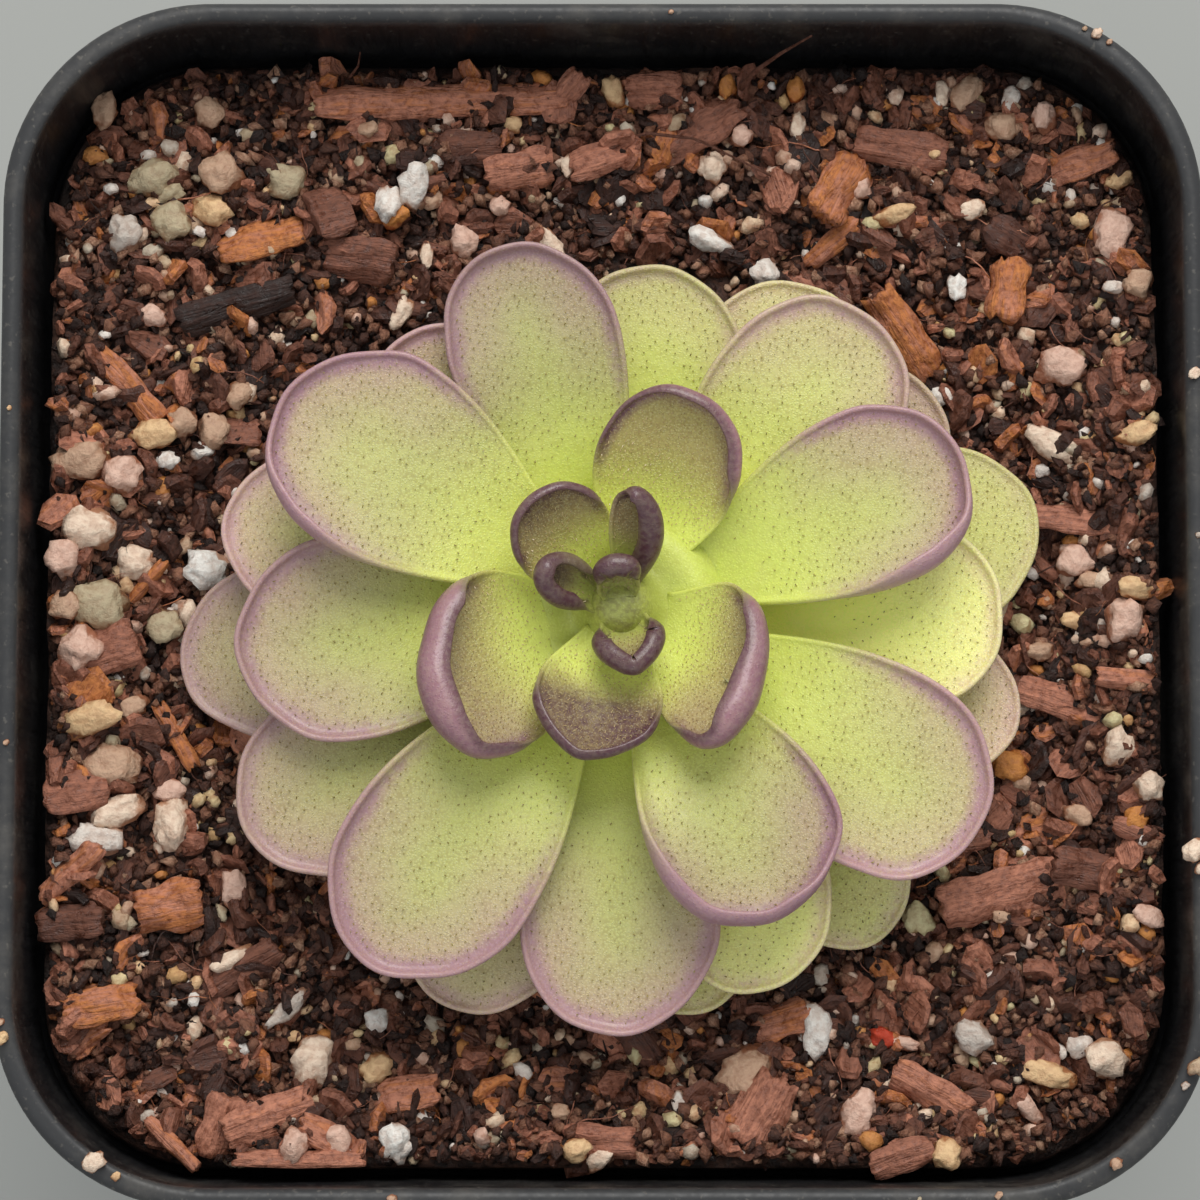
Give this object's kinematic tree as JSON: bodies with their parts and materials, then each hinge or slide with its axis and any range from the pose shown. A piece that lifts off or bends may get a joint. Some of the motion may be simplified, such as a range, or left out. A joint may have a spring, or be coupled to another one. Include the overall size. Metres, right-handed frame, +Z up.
{
  "type": "potted butterwort",
  "caption": "Butterwort rosette of fleshy yellow-green leaves with mauve upturned margins, growing in bark and perlite mix in a small square dark plastic nursery pot.",
  "frame": {"origin": "on the ground under the middle of the pot's foot ring", "axes": "+Z up along the pot's height, +X to the right and +Y away from someone who looks down at the plant from the front"},
  "size_m": [0.07, 0.07, 0.0703],
  "materials": {
    "pot_plastic": "satin",
    "potting_mix": "matte",
    "leaf_green": "satin",
    "leaf_purple": "satin"
  },
  "bodies": {
    "root": {"pot": "pot_plastic", "soil": "potting_mix", "crown": "leaf_green", "leaf_01": "leaf_purple", "leaf_02": "leaf_purple", "leaf_03": "leaf_purple", "leaf_04": "leaf_purple", "leaf_05": "leaf_purple", "leaf_06": "leaf_purple", "leaf_07": "leaf_purple", "leaf_08": "leaf_purple", "leaf_09": "leaf_purple", "leaf_10": "leaf_green", "leaf_11": "leaf_green", "leaf_12": "leaf_green", "leaf_13": "leaf_green", "leaf_14": "leaf_green", "leaf_15": "leaf_green", "leaf_16": "leaf_green", "leaf_17": "leaf_green", "leaf_18": "leaf_green", "leaf_19": "leaf_green", "leaf_20": "leaf_green", "leaf_21": "leaf_green", "leaf_22": "leaf_green", "leaf_23": "leaf_green", "leaf_24": "leaf_green", "leaf_25": "leaf_green", "leaf_26": "leaf_green", "leaf_27": "leaf_green", "leaf_28": "leaf_green", "leaf_29": "leaf_green", "leaf_30": "leaf_green", "leaf_31": "leaf_green", "leaf_32": "leaf_green", "leaf_33": "leaf_green"}
  },
  "joints": []
}
